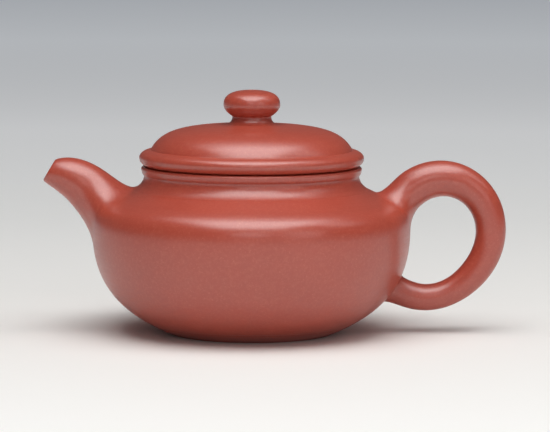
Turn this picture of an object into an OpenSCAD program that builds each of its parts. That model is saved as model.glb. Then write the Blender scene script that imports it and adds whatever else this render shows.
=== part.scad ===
// Squat clay teapot with a domed lid, a short curved spout and a ring handle.
// Every piece is turned about the Z axis or laid along the XZ plane: the spout
// points to -X, the handle to +X, and the pot stands on the plane z = 0.

/* [Body] */
// Widest diameter of the body
belly_d = 100.6; // [98:0.2:103]
// Height of the widest part of the body
belly_h = 32.9; // [32:0.1:34]
// Diameter of the foot that the pot stands on
foot_d = 52; // [48:0.5:55]
// Thickness of the body's clay wall
wall = 3; // [2.4:0.1:3.4]
// Depth of the hollow pressed up into the underside
foot_hollow = 1.6; // [0.8:0.1:2]

/* [Neck and mouth] */
// Diameter of the neck at its waist
neck_d = 68; // [67.6:0.1:68.4]
// Outer diameter of the bead round the mouth
bead_d = 69.7; // [69:0.1:70.2]
// Inner diameter of the mouth
mouth_d = 62; // [61:0.2:63]

/* [Lid] */
// Outer diameter of the moulding round the lid
rim_d = 71; // [70.4:0.1:71.6]
// Air gap between the lid and the mouth bead
lid_gap = 0.15; // [0.1:0.05:0.3]
// Gap all round between the lid's flange and the mouth
flange_gap = 0.4; // [0.3:0.05:0.8]
// Depth that the flange reaches into the mouth
flange_depth = 8.5; // [6:0.5:10]
// Thickness of the lid's dome
dome_wall = 2.6; // [2.2:0.1:3]
// Diameter of the steam vent through the knob
vent_d = 1.8; // [1.4:0.1:2.4]

/* [Spout] */
// Diameter of the spout's bore at its lip
bore_d = 5.8; // [5:0.1:6.2]
// Diameter of the hole in the body wall behind the spout
port_d = 13.4; // [13:0.1:13.6]
// Diameter of one strainer hole
sieve_hole_d = 1.4; // [1.1:0.1:1.6]
// Rings of strainer holes round the middle one
sieve_rings = 3; // [2:1:3]

/* [Handle] */
// Breadth of the handle across the pot, as a share of its thickness
handle_breadth = 1; // [0.9:0.05:1.1]

/* [Hidden] */
$fn = 96;

CLAY = [0.62, 0.29, 0.235];
TURN_STEPS = 18;      // straight facets along one quarter of a turned outline
LUTE = 0.09;          // slip joint left between the body and what is luted to it

belly_r = belly_d / 2;
foot_r = foot_d / 2;
neck_r = neck_d / 2;
bead_r = bead_d / 2;
mouth_r = mouth_d / 2;
rim_r = rim_d / 2;

base_h = 3;           // height of the base's upper side at its edge
seam_step = 2;        // how far the base and the wall meet inside the wall's inner side
foot_flat = 4;        // breadth of the flat that touches the table
bead_z = 50.1;        // underside of the mouth bead
mouth_z = 52.7;       // top of the mouth bead
lid_z = mouth_z + lid_gap;
rim_top_z = 57.9;     // where the dome rises out of the lid's moulding
flange_wall = 2.4;
dome_foot = [31.9, rim_top_z];

// ---------------------------------------------------------------- curves
function bez(p, t) =
    pow(1 - t, 3) * p[0] + 3 * pow(1 - t, 2) * t * p[1]
    + 3 * (1 - t) * t * t * p[2] + t * t * t * p[3];
function bez_slope(p, t) =
    3 * pow(1 - t, 2) * (p[1] - p[0]) + 6 * (1 - t) * t * (p[2] - p[1])
    + 3 * t * t * (p[3] - p[2]);
function curve(p, steps, from = 0, to = 1) =
    [for (i = [0:steps]) bez(p, from + (to - from) * i / steps)];
function unit(v) = v / norm(v);
function polar(r, a) = [r * cos(a), r * sin(a)];

// ---------------------------------------------------------------- body outline
// The outline runs from the foot (0) over the belly (1) to the neck (2).
low_half = [[foot_r, 0], [foot_r, 0] + polar(18.15, 22.8),
            [belly_r, belly_h - 16.5], [belly_r, belly_h]];
neck_end = [34.8, 46.6];
high_half = [[belly_r, belly_h], [belly_r, belly_h + 9.3],
             neck_end + polar(11.6, -30), neck_end];
SEAM_LOW = 0.137;     // where the outline crosses the base seam
SEAM_HIGH = 1.917;    // where it reaches the neck collar

function outline(m) = m < 1 ? bez(low_half, m) : bez(high_half, m - 1);
function outline_dir(m) = unit(m < 1 ? bez_slope(low_half, m) : bez_slope(high_half, m - 1));
function outward(m) = let(d = outline_dir(m)) [d[1], -d[0]];
function inner_outline(m) = outline(m) - wall * outward(m);

// A point on the body's skin, at place m on the outline and y across the pot.
// side is -1 towards the spout and 1 towards the handle.
function skin(m, y, side) =
    let(p = outline(m) + LUTE * outward(m))
    [side * sqrt(p[0] * p[0] - y * y), y, p[1]];

// The lid's dome, from its foot up to the edge of the knob.
dome_curve = [dome_foot, [28.05, 65.45], [19.6, 65.85], [7, 66.55]];
DOME_END = 0.955;

// ---------------------------------------------------------------- lofts
// Faces of a pipe of rings, each of n points. A closed pipe ends where it starts.
function pipe_faces(rings, n, closed) = [
    for (i = [0:rings - (closed ? 1 : 2)], k = [0:n - 1])
        let(a = i * n + k, b = i * n + (k + 1) % n,
            c = ((i + 1) % rings) * n + k, d = ((i + 1) % rings) * n + (k + 1) % n)
        each [[a, b, d], [a, d, c]]];
function fan_faces(first, tip, n, flip) = [
    for (k = [0:n - 1])
        let(a = first + k, b = first + (k + 1) % n)
        flip ? [b, a, tip] : [a, b, tip]];
function flatten(rings) = [for (ring = rings) each ring];

// An oval ring in a plane square to XZ: it crosses that plane at up and down.
function oval(up, down, half_breadth, n) = [
    for (k = [0:n - 1])
        let(a = 360 * k / n, mid = (up + down) / 2, half = (up - down) / 2,
            p = mid + cos(a) * half)
        [p[0], half_breadth * sin(a), p[1]]];

// A ring on the body's skin round the place m_mid.
function skin_ring(m_mid, m_half, y_half, share, side, n) = [
    for (k = [0:n - 1])
        let(a = 360 * k / n)
        skin(m_mid + share * m_half * cos(a), share * y_half * sin(a), side)];

// Rings that sweep from one ring into another, leaving along pull_a and
// arriving along pull_b. Both pulls are lists of vectors, one for each point.
function blend_rings(ring_a, pull_a, pull_b, ring_b, steps) = [
    for (i = [1:steps]) [
        for (k = [0:len(ring_a) - 1])
            bez([ring_a[k], ring_a[k] + pull_a[k], ring_b[k] - pull_b[k], ring_b[k]],
                i / steps)]];

// How far each point of a skin ring is pulled along the skin, away from its middle.
function skin_pull(m_mid, m_half, y_half, side, n, mean, swing) =
    let(edge = skin_ring(m_mid, m_half, y_half, 1, side, n),
        near = skin_ring(m_mid, m_half, y_half, 0.97, side, n))
    [for (k = [0:n - 1])
        (mean + swing * cos(360 * k / n)) * unit(edge[k] - near[k])];

// ---------------------------------------------------------------- spout
SPOUT_N = 36;
spout_over = [[-60.5, 54.75], [-56.5, 56.2], [-50, 55], [-42.6, 48.5]];
spout_under = [[-65.2, 48.1], [-62.6, 45.2], [-57.2, 42.6], [-54.3, 36.6]];
spout_root = [1.385, 0.54, 15];   // middle and half length on the outline, half breadth
lip_round = 0.55;
bore_root_share = 0.52;

function spout_oval(t, inset) =
    let(up = bez(spout_over, t), down = bez(spout_under, t), d = unit(up - down))
    oval(up - inset * d, down + inset * d, norm(up - down) / 2 - inset, SPOUT_N);
function shifted(ring, v) = [for (p = ring) p + v];

lip_out = let(d = unit(spout_over[0] - spout_under[0])) [-d[1], 0, d[0]];
lip_wall = norm(spout_over[0] - spout_under[0]) / 2 - bore_d / 2;
root_wall = 2.2;

function spout_bore_inset(t) = lip_wall + (root_wall - lip_wall) * sqrt(t);

// ---------------------------------------------------------------- handle
HANDLE_N = 28;
// Middle line of the ring with its radius: [x, z, radius]
handle_line = [[47.5, 40, 6.6], [51.2, 46.1, 6.1], [60.4, 48.95, 5.47], [70.5, 45.3, 5.4],
               [75.9, 34.2, 5.03], [71.9, 20.9, 4.75], [62.4, 12.8, 4.45],
               [54.4, 11.3, 3.95], [49, 12.3, 4.05], [43.5, 14.4, 4.1]];
// Middle and half length on the body's outline, and half breadth. The low root is
// turned over, because the ring's outer side meets the body at its underside there.
handle_top_root = [1.39, 0.395, 11];
handle_low_root = [0.55, -0.112, 4.7];

// A smooth curve through the listed points, from place 1 to one before the last.
function through(p, u) =
    let(i = max(1, min(floor(u), len(p) - 3)), t = u - i,
        a = p[i - 1], b = p[i], c = p[i + 1], d = p[i + 2])
    0.5 * ((2 * b) + (c - a) * t + (2 * a - 5 * b + 4 * c - d) * t * t
           + (3 * b - a - 3 * c + d) * t * t * t);
function handle_dir(u) =
    let(step = 0.01, v = through(handle_line, u + step) - through(handle_line, u - step))
    unit([v[0], v[1]]);
function handle_oval(u) =
    let(s = through(handle_line, u), d = handle_dir(u), mid = [s[0], s[1]],
        out = s[2] * [-d[1], d[0]])
    oval(mid + out, mid - out, s[2] * handle_breadth, HANDLE_N);
function handle_pull(u, size, sign) =
    let(d = handle_dir(u)) [for (k = [0:HANDLE_N - 1]) sign * size * [d[0], 0, d[1]]];

// ---------------------------------------------------------------- pieces
module turned(points) {
    rotate_extrude() polygon(points);
}

module base_disc() {
    flat_r = foot_r - foot_flat;
    pressed = [[flat_r, 0], [flat_r - 4, 0.1], [10, foot_hollow], [0, foot_hollow]];
    floor_r = inner_outline(SEAM_LOW)[0] - seam_step;
    color(CLAY) turned(concat(
        [[flat_r, 0]],
        [for (i = [0:4]) outline(SEAM_LOW * i / 4)],
        [[floor_r, outline(SEAM_LOW)[1]]],
        curve([[floor_r, outline(SEAM_LOW)[1]], [floor_r - 6, base_h + 0.1],
               [12, base_h + foot_hollow], [0, base_h + foot_hollow]], 8),
        [for (i = [8:-1:1]) bez(pressed, i / 8)]));
}

module body_wall() {
    seam = outline(SEAM_LOW);
    span = SEAM_HIGH - SEAM_LOW;
    steps = 2 * TURN_STEPS;
    places = [for (i = [0:steps]) SEAM_LOW + span * i / steps];
    top_z = outline(SEAM_HIGH)[1];
    top_edge = 1.9;   // height of the upright edge under the neck collar
    color(CLAY) difference() {
        turned(concat(
            [for (m = places) outline(m)],
            [[mouth_r, top_z], [mouth_r, top_z - top_edge]],
            [for (i = [steps:-1:0]) inner_outline(places[i])],
            [[inner_outline(SEAM_LOW)[0] - seam_step, seam[1]]]));
        along_port() cylinder(d = port_d, h = 4 * wall, center = true);
    }
}

// Stands on the skin where the spout's bore enters the body, with +Z outwards. It
// leans towards the belly, because the skin curves away faster on that side.
module along_port() {
    m = spout_root[0] + 0.01;
    lean = 8;
    p = outline(m);
    n = outward(m);
    translate([-p[0], 0, p[1]]) rotate([0, -atan2(n[0], n[1]) - lean, 0]) children();
}

module neck_collar() {
    foot = outline(SEAM_HIGH);
    waist = [neck_r, bead_z - 0.55];
    flare = [foot, foot + 1.35 * outline_dir(SEAM_HIGH), waist - [-0.1, 2.05], waist];
    color(CLAY) turned(concat(
        curve(flare, 10),
        [[neck_r + 0.05, bead_z], [mouth_r, bead_z], [mouth_r, foot[1]]]));
}

module mouth_ring() {
    edge = 0.5;
    crest = [bead_r, mouth_z - 0.75];
    color(CLAY) turned(concat(
        [[mouth_r, bead_z]],
        curve([[neck_r + 0.25, bead_z], [neck_r + 0.45, bead_z + 0.15],
               crest - [0.05, 0.85], crest], 6),
        curve([crest, crest + [0.02, 0.4], [bead_r - 0.1, mouth_z], [bead_r - 0.5, mouth_z]], 6, 0.16),
        [[mouth_r + edge, mouth_z], [mouth_r, mouth_z - edge]]));
}

// A small clay dome, pierced all over, that bulges into the pot behind the spout.
module spout_strainer() {
    play = 0.06;
    rim = port_d / 2 - play;
    shell = 1.2;
    ball_r = 7.6;
    ball_z = sqrt(ball_r * ball_r - rim * rim);
    rim_h = 1.2;
    seat = 3.85;      // how far its foot lies inside the body's skin
    band = 16;        // each ring of holes sits in the middle of a band this wide, in degrees
    twist = 7;
    color(CLAY) along_port() translate([0, 0, -seat]) difference() {
        rotate_extrude() polygon(concat(
            [[rim, 0], [rim, rim_h], [rim - shell, rim_h], [rim - shell, 0]],
            [for (a = [3.5:-1:0.5]) [0, ball_z] + polar(ball_r - shell, a * band - 90)],
            [[0, ball_z - (ball_r - shell) * cos(band / 2)], [0, ball_z - ball_r * cos(band / 2)]],
            [for (a = [0.5:2.5]) [0, ball_z] + polar(ball_r, a * band - 90)],
            [[0, ball_z] + polar(ball_r, 3.4 * band - 90)]));
        translate([0, 0, ball_z]) for (ring = [0:sieve_rings]) {
            count = max(1, 6 * ring);
            for (k = [0:count - 1])
                rotate([0, 0, 360 * k / count + twist]) rotate([0, 180 - band * ring, 0])
                    translate([0, 0, ball_r / 2]) cylinder(d = sieve_hole_d, h = ball_r);
        }
    }
}

module spout() {
    m = spout_root[0];
    half = spout_root[1];
    breadth = spout_root[2];
    lip = [shifted(spout_oval(0, lip_wall - 0.35), lip_out * lip_round * 0.9),
           shifted(spout_oval(0, lip_round), lip_out * lip_round),
           shifted(spout_oval(0, 0.15), lip_out * 0.25)];
    sides = [for (t = [0:0.1:1]) spout_oval(t, 0)];
    last = sides[len(sides) - 1];
    leave = [for (k = [0:SPOUT_N - 1])
        let(a = cos(360 * k / SPOUT_N), over = bez_slope(spout_over, 1),
            under = bez_slope(spout_under, 1),
            d = unit((1 + a) / 2 * unit(over) + (1 - a) / 2 * unit(under)))
        (3.4 - 0.2 * a) * [d[0], 0, d[1]]];
    edge = skin_ring(m, half, breadth, 1, -1, SPOUT_N);
    root = blend_rings(last, leave,
        skin_pull(m, half, breadth, -1, SPOUT_N, 2.4, -1.5), edge, 8);
    back = [for (share = [0.92, 0.84, 0.76, 0.68, 0.6])
        skin_ring(m, half, breadth, share, -1, SPOUT_N)];
    bore_end = skin_ring(m, half, breadth, bore_root_share, -1, SPOUT_N);
    bore = [for (t = [0.9:-0.1:0.05]) spout_oval(t, spout_bore_inset(t))];
    mouth = [shifted(spout_oval(0, lip_wall), lip_out * 0.2)];
    rings = concat(lip, sides, root, back, [bore_end], bore, mouth);
    color(CLAY) polyhedron(flatten(rings), pipe_faces(len(rings), SPOUT_N, true));
}

module handle() {
    top = handle_top_root;
    low = handle_low_root;
    first = 1;
    last = 8;
    steps = 36;
    sides = [for (i = [0:steps]) handle_oval(first + (last - first) * i / steps)];
    top_blend = blend_rings(sides[0], handle_pull(first, 2.6, -1),
        skin_pull(top[0], top[1], top[2], 1, HANDLE_N, 2.3, -2.1),
        skin_ring(top[0], top[1], top[2], 1, 1, HANDLE_N), 8);
    low_blend = blend_rings(sides[steps], handle_pull(last, 1.6, 1),
        skin_pull(low[0], low[1], low[2], 1, HANDLE_N, 0.4, 0),
        skin_ring(low[0], low[1], low[2], 1, 1, HANDLE_N), 4);
    rings = concat(
        [for (share = [0.15, 0.3, 0.45, 0.6, 0.75, 0.9])
            skin_ring(top[0], top[1], top[2], share, 1, HANDLE_N)],
        [for (i = [7:-1:0]) top_blend[i]], sides, low_blend,
        [for (share = [0.75, 0.4]) skin_ring(low[0], low[1], low[2], share, 1, HANDLE_N)]);
    count = len(rings) * HANDLE_N;
    color(CLAY) polyhedron(
        concat(flatten(rings), [skin(top[0], 0, 1), skin(low[0], 0, 1)]),
        concat(pipe_faces(len(rings), HANDLE_N, false),
               fan_faces(0, count, HANDLE_N, true),
               fan_faces(count - HANDLE_N, count + 1, HANDLE_N, false)));
}

module lid_flange() {
    outer = mouth_r - flange_gap;
    inner = outer - flange_wall;
    soft = 0.6;
    color(CLAY) turned([[inner, lid_z - flange_depth], [outer - soft, lid_z - flange_depth],
        [outer, lid_z - flange_depth + soft], [outer, lid_z], [inner, lid_z]]);
}

// The moulding that overhangs the mouth: a rolled upper edge over a narrow lip.
module lid_rim() {
    lip = [rim_r - 0.35, lid_z + 1.25];
    crest = [rim_r, lid_z + 2.5];
    inner = mouth_r - flange_gap - flange_wall;
    color(CLAY) turned(concat(
        [[inner, lid_z]],
        curve([[rim_r - 1, lid_z], [rim_r - 0.55, lid_z + 0.1], [rim_r - 0.6, lid_z + 0.65], lip], 6),
        curve([lip, lip + [0.2, 0.4], crest - [0, 0.45], crest], 5, 0.2),
        curve([crest, crest + [0, 1.15], [rim_r - 1.1, rim_top_z - 0.3], dome_foot], 10, 0.1),
        [[dome_foot[0] - dome_wall, rim_top_z], [inner, rim_top_z - 1]]));
}

module lid_dome() {
    steps = 20;
    skin_in = [for (i = [steps:-1:2]) let(t = DOME_END * i / steps, d = unit(bez_slope(dome_curve, t)))
        bez(dome_curve, t) - dome_wall * [d[1], -d[0]]];
    top = bez(dome_curve, DOME_END);
    color(CLAY) difference() {
        turned(concat(
            curve(dome_curve, steps, 0, DOME_END),
            [[0, top[1]], [0, top[1] - dome_wall]],
            skin_in,
            [[dome_foot[0] - dome_wall, rim_top_z]]));
        translate([0, 0, top[1] - 2 * dome_wall]) cylinder(d = vent_d, h = 3 * dome_wall);
    }
}

// A flattened ball on a short waist, with a steam vent down its middle.
module knob() {
    foot = bez(dome_curve, DOME_END);
    waist = [6.15, 68.4];
    wide = [8.95, 72.15];
    top_z = 76.8;
    color(CLAY) difference() {
        turned(concat(
            curve([foot, foot + [-2, 0.1], waist - [0, 1], waist], 8),
            curve([waist, waist + [0, 0.35], wide - [0, 2.25], wide], 12, 0.08),
            curve([wide, wide + [0, 2.95], [6.65, top_z], [0, top_z]], 16, 0.06),
            [[0, foot[1]]]));
        translate([0, 0, foot[1] - 1]) cylinder(d = vent_d, h = top_z - foot[1] + 2);
    }
}

base_disc();
body_wall();
neck_collar();
mouth_ring();
spout_strainer();
spout();
handle();
lid_flange();
lid_rim();
lid_dome();
knob();
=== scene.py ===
"""A squat red clay teapot: a luted pot with a spout and a ring handle, and its lift-off lid.

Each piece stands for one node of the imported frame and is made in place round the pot's axis.
Sections are drawn in millimetres in the plane of the axis, with r outwards and z up, and become
metres when they turn into a mesh. The spout points to -X and the handle to +X.
"""

from __future__ import annotations

import logging
import math
from dataclasses import dataclass
from enum import Enum

import bpy
import numpy as np
from mathutils import Matrix, Vector

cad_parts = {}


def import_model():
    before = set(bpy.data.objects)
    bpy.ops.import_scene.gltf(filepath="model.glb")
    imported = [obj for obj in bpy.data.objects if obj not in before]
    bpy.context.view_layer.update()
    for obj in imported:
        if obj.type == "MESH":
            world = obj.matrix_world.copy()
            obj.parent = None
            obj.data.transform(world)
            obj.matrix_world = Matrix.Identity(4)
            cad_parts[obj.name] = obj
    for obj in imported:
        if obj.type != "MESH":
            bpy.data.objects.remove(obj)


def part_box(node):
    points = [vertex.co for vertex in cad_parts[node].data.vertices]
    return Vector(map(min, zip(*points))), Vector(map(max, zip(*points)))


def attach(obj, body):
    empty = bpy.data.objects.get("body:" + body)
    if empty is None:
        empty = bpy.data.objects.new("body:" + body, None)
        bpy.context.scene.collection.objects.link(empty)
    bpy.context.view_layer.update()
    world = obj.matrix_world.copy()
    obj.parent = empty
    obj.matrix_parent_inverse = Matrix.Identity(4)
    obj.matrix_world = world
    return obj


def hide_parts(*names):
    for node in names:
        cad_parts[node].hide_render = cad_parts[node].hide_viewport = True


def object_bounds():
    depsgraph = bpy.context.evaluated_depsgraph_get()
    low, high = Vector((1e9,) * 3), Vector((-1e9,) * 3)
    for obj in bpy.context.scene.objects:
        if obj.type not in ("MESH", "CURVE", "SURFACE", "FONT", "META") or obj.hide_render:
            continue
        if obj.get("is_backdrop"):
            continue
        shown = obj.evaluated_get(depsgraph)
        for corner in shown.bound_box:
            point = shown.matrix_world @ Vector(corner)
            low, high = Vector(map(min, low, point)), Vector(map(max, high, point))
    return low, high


MM = 0.001
STEPS_ROUND = 256
SHARP_ANGLE = math.radians(38)
STROKE_LENGTH = 16.0  # a burnishing mark's length, in mm
STROKE_BREADTH = 0.9  # and its breadth
RAW = 0.0  # how far a face is burnished: left as it was thrown
WIPED = 0.2  # wiped with a wet cloth
RUBBED = 1.0  # rubbed with the burnishing tool
MERGE_WITHIN = 0.002  # how near two points are merged, in mm

LOG = logging.getLogger("teapot")
Pair = tuple[float, float]
Socket = bpy.types.NodeSocket
Box = tuple[Vector, Vector]
Shade = tuple[float, float, float]
Paint = tuple[float, float, float, float]

FLOAT = "NodeSocketFloat"
WHOLE = "NodeSocketInt"
VECTOR = "NodeSocketVector"
COLOUR = "NodeSocketColor"


class Body(Enum):
    """The frame's bodies."""

    POT = "pot"
    LID_SEAT = "lid_seat"
    LID = "lid"


class Slot(Enum):
    """The record's material slots."""

    RED_CLAY = "red_clay"
    INNER_CLAY = "inner_clay"


class Side(Enum):
    """The side of the pot that a root is luted to."""

    SPOUT = -1
    HANDLE = 1


# ---------------------------------------------------------------------------- node trees


class Graph:
    """Adds nodes to one tree, fills their inputs and wires them."""

    COLUMN = 190  # from one node to the next in the editor
    source: bpy.types.bpy_prop_collection  # the inputs, where the tree is a group
    sink: bpy.types.bpy_prop_collection  # and its outputs

    def __init__(self, tree: bpy.types.NodeTree) -> None:
        """Starts on a tree and empties it."""
        self.tree = tree
        self.tree.nodes.clear()

    @classmethod
    def group(cls, name: str, kind: str, inputs: dict[str, tuple[str, object]],
              outputs: dict[str, str]) -> Graph:
        """Opens a new node group with named sockets.

        Args:
            name: the group's name.
            kind: ShaderNodeTree or GeometryNodeTree.
            inputs: each input's socket kind and first value, by name.
            outputs: each output's socket kind, by name.

        Returns:
            A graph whose source and sink are the group's input and output nodes.
        """
        graph = cls(bpy.data.node_groups.new(name, kind))
        for label, (socket_kind, value) in inputs.items():
            socket = graph.tree.interface.new_socket(label, in_out="INPUT", socket_type=socket_kind)
            if value is not None:
                socket.default_value = value
        for label, socket_kind in outputs.items():
            graph.tree.interface.new_socket(label, in_out="OUTPUT", socket_type=socket_kind)
        graph.source = graph.add("NodeGroupInput").outputs
        graph.sink = graph.add("NodeGroupOutput").inputs
        return graph

    @classmethod
    def making(cls, name: str, inputs: dict[str, tuple[str, object]]) -> Graph:
        """Opens a new tree that makes a mesh from another and gives it a material."""
        return cls.group(name, "GeometryNodeTree", {
            "Geometry": ("NodeSocketGeometry", None), **inputs,
            "Material": ("NodeSocketMaterial", None)}, {"Geometry": "NodeSocketGeometry"})

    def finish(self, shape: Socket) -> bpy.types.NodeTree:
        """Ends a tree that makes a mesh, and returns it."""
        real = self.add("GeometryNodeRealizeInstances", {"Geometry": shape}).outputs[0]
        clad = self.add("GeometryNodeSetMaterial", {
            "Geometry": real, "Material": self.source["Material"]}).outputs[0]
        self.fill(self.sink["Geometry"], clad)
        return self.tree

    def add(self, kind: str, inputs: dict[str | int, object] | None = None,
            **settings: object) -> bpy.types.Node:
        """Adds one node.

        Args:
            kind: the node's type.
            inputs: a value or an output socket for each input named or numbered here.
            settings: the node's own properties.

        Returns:
            The new node.
        """
        node = self.tree.nodes.new(kind)
        node.location = (self.COLUMN * len(self.tree.nodes), 0)
        for name, value in settings.items():
            setattr(node, name, value)
        for key, value in (inputs or {}).items():
            self.fill(node.inputs[key], value)
        return node

    def fill(self, socket: Socket, value: object) -> None:
        """Links a socket to another one, or gives it a value."""
        if isinstance(value, Socket):
            self.tree.links.new(value, socket)
        else:
            socket.default_value = value

    def math(self, operation: str, *values: object) -> Socket:
        """Adds a Math node on one, two or three values."""
        inputs = dict(enumerate(values))
        return self.add("ShaderNodeMath", inputs, operation=operation).outputs[0]

    def times(self, first: object, second: object) -> Socket:
        """Multiplies two numbers."""
        return self.math("MULTIPLY", first, second)

    def over(self, first: object, second: object) -> Socket:
        """Divides one number by another."""
        return self.math("DIVIDE", first, second)

    def plus(self, first: object, second: object) -> Socket:
        """Adds two numbers."""
        return self.math("ADD", first, second)

    def less(self, first: object, second: object) -> Socket:
        """Takes one number from another."""
        return self.math("SUBTRACT", first, second)

    def vector_math(self, operation: str, *values: object) -> Socket:
        """Adds a Vector Math node on one or two vectors."""
        inputs = dict(enumerate(values))
        return self.add("ShaderNodeVectorMath", inputs, operation=operation).outputs[0]

    def length(self, vector: object) -> Socket:
        """Measures a vector."""
        return self.add("ShaderNodeVectorMath", {0: vector}, operation="LENGTH").outputs["Value"]

    def scaled(self, vector: object, factor: object) -> Socket:
        """Multiplies a vector by a number."""
        node = self.add("ShaderNodeVectorMath", {0: vector, "Scale": factor}, operation="SCALE")
        return node.outputs[0]

    def mixed(self, factor: object, first: object, second: object) -> Socket:
        """Mixes two numbers."""
        node = self.add("ShaderNodeMix", {0: factor, 2: first, 3: second}, data_type="FLOAT")
        return node.outputs[0]

    def tinted(self, factor: object, first: object, second: object) -> Socket:
        """Mixes two colours."""
        node = self.add("ShaderNodeMix", {0: factor, 6: first, 7: second}, data_type="RGBA")
        return node.outputs[2]

    def ranged(self, value: object, low: float, high: float,
               to_low: float = 0.0, to_high: float = 1.0) -> Socket:
        """Maps a number from one range to another, and holds it there."""
        inputs = {0: value, 1: low, 2: high, 3: to_low, 4: to_high}
        return self.add("ShaderNodeMapRange", inputs).outputs[0]

    def noise(self, vector: object, scale: object, detail: float = 2.0,
              roughness: float = 0.5) -> Socket:
        """Adds a Noise Texture and returns its factor."""
        inputs = {"Vector": vector, "Scale": scale, "Detail": detail, "Roughness": roughness}
        return self.add("ShaderNodeTexNoise", inputs).outputs[0]

    def cells(self, vector: object, scale: object) -> Socket:
        """Adds a Voronoi Texture and returns the distance to its nearest point."""
        inputs = {"Vector": vector, "Scale": scale}
        return self.add("ShaderNodeTexVoronoi", inputs).outputs["Distance"]

    def xyz(self, vector: object) -> tuple[Socket, Socket, Socket]:
        """Splits a vector into its three numbers."""
        return tuple(self.add("ShaderNodeSeparateXYZ", {0: vector}).outputs)

    def joined(self, x: object, y: object, z: object) -> Socket:
        """Joins three numbers into a vector."""
        return self.add("ShaderNodeCombineXYZ", {0: x, 1: y, 2: z}).outputs[0]


def put(name: str, data: bpy.types.ID, place: Matrix | None = None) -> bpy.types.Object:
    """Puts a mesh, a light or a camera into the scene.

    Args:
        name: the object's name.
        data: what it holds.
        place: where it goes, or None for the origin.

    Returns:
        The object.
    """
    thing = bpy.data.objects.new(name, data)
    if place is not None:
        thing.matrix_world = place
    bpy.context.scene.collection.objects.link(thing)
    return thing


def apply_modifier(piece: bpy.types.Object, modifier: bpy.types.Modifier) -> None:
    """Runs a piece's only modifier and keeps the result as its plain mesh."""
    bpy.context.view_layer.update()
    view = bpy.context.evaluated_depsgraph_get()
    made = bpy.data.meshes.new_from_object(
        piece.evaluated_get(view), preserve_all_data_layers=True, depsgraph=view)
    piece.modifiers.remove(modifier)
    start = piece.data
    piece.data = made
    bpy.data.meshes.remove(start)


def run_tree(piece: bpy.types.Object, tree: bpy.types.NodeTree,
             values: dict[str, object]) -> None:
    """Runs a Geometry Nodes tree on a piece and keeps the result.

    Args:
        piece: the object whose mesh the tree starts from.
        tree: the tree.
        values: values for the tree's inputs, by name.
    """
    modifier = piece.modifiers.new("making", "NODES")
    modifier.node_group = tree
    for item in tree.interface.items_tree:
        if item.in_out == "INPUT" and item.name in values:
            modifier[item.identifier] = values[item.name]
    apply_modifier(piece, modifier)


# ---------------------------------------------------------------------------- outlines


def rounding(a: np.ndarray, b: np.ndarray, c: np.ndarray, t: float) -> np.ndarray:
    """Returns the point at place t of the curve from a to c that rounds the corner b."""
    s = 1 - t
    return s * s * a + 2 * t * s * b + t * t * c


def cubic(a: np.ndarray, b: np.ndarray, c: np.ndarray, d: np.ndarray, t: float) -> np.ndarray:
    """Returns the point at place t of the cubic curve from a to d that b and c pull."""
    s = 1 - t
    return s**3 * a + 3 * s * s * t * b + 3 * s * t * t * c + t**3 * d


@dataclass(frozen=True)
class Bend:
    """A cubic curve in the plane of the pot's axis, in mm."""

    start: Pair
    leave: Pair
    arrive: Pair
    end: Pair

    def pulls(self) -> list[np.ndarray]:
        """Returns the curve's four points as vectors."""
        return [np.array(p, float) for p in (self.start, self.leave, self.arrive, self.end)]

    def at(self, t: float) -> np.ndarray:
        """Returns the point at place t, from 0 to 1."""
        return cubic(*self.pulls(), t)

    def slope(self, t: float) -> np.ndarray:
        """Returns the curve's direction and speed at place t."""
        a, b, c, d = self.pulls()
        s = 1 - t
        return 3 * s * s * (b - a) + 6 * s * t * (c - b) + 3 * t * t * (d - c)

    def points(self, steps: int, first: float = 0.0, last: float = 1.0) -> list[np.ndarray]:
        """Returns points spread evenly from place first to place last."""
        return [self.at(t) for t in np.linspace(first, last, steps + 1)]

    def offset(self, distance: float, steps: int, first: float, last: float) -> list[np.ndarray]:
        """Returns points set off to the right of the curve, outwards where it runs upwards."""
        return [self.at(t) + distance * right_of(self.slope(t))
                for t in np.linspace(first, last, steps + 1)]


def unit(vector: np.ndarray) -> np.ndarray:
    """Returns a vector of length 1."""
    return vector / np.linalg.norm(vector)


def right_of(direction: np.ndarray) -> np.ndarray:
    """Returns the unit vector a quarter turn clockwise from a direction."""
    return unit(np.array([direction[1], -direction[0]]))


def turned_vector(length: float, degrees: float) -> np.ndarray:
    """Returns a vector of the given length and angle."""
    angle = math.radians(degrees)
    return length * np.array([math.cos(angle), math.sin(angle)])


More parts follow.
